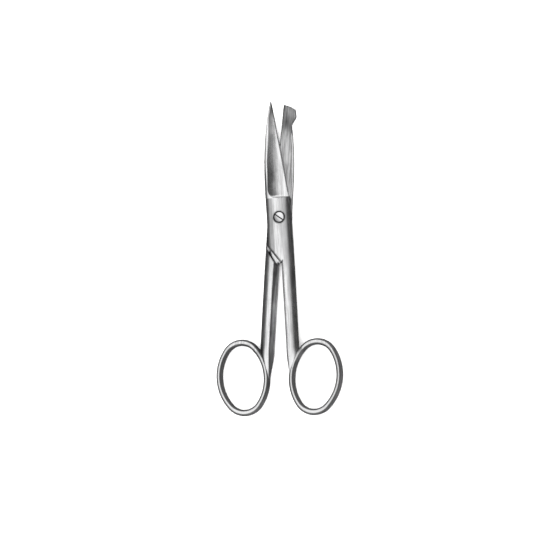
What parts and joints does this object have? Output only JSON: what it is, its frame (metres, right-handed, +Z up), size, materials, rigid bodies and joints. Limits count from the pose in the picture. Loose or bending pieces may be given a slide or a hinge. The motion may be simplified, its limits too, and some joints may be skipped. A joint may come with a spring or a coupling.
{
  "type": "surgical scissors",
  "caption": "Straight surgical scissors with a sharp and a beaked blade, finger rings and a slotted pivot screw.",
  "frame": {"origin": "on the pivot axis, in the plane on which the scissors rest", "axes": "+Y towards the blade tips, +Z up out of the slotted screw head, +X to the side of the ring of the sharp half"},
  "size_m": [0.0601, 0.1453, 0.0057],
  "materials": {
    "ground_steel": "satin stainless steel, ground along its length, polished rings and spines",
    "screw_steel": "turned and polished stainless steel"
  },
  "bodies": {
    "beaked_side": {"beaked_half": "ground_steel", "pivot_screw": "screw_steel"},
    "sharp_side": {"sharp_half": "ground_steel"}
  },
  "joints": [
    {"name": "pivot", "type": "hinge", "parent": "beaked_side", "child": "sharp_side", "pos_m": [0, 0, 0], "axis": [0, 0, 1], "range_deg": [-6.5, 90]}
  ]
}
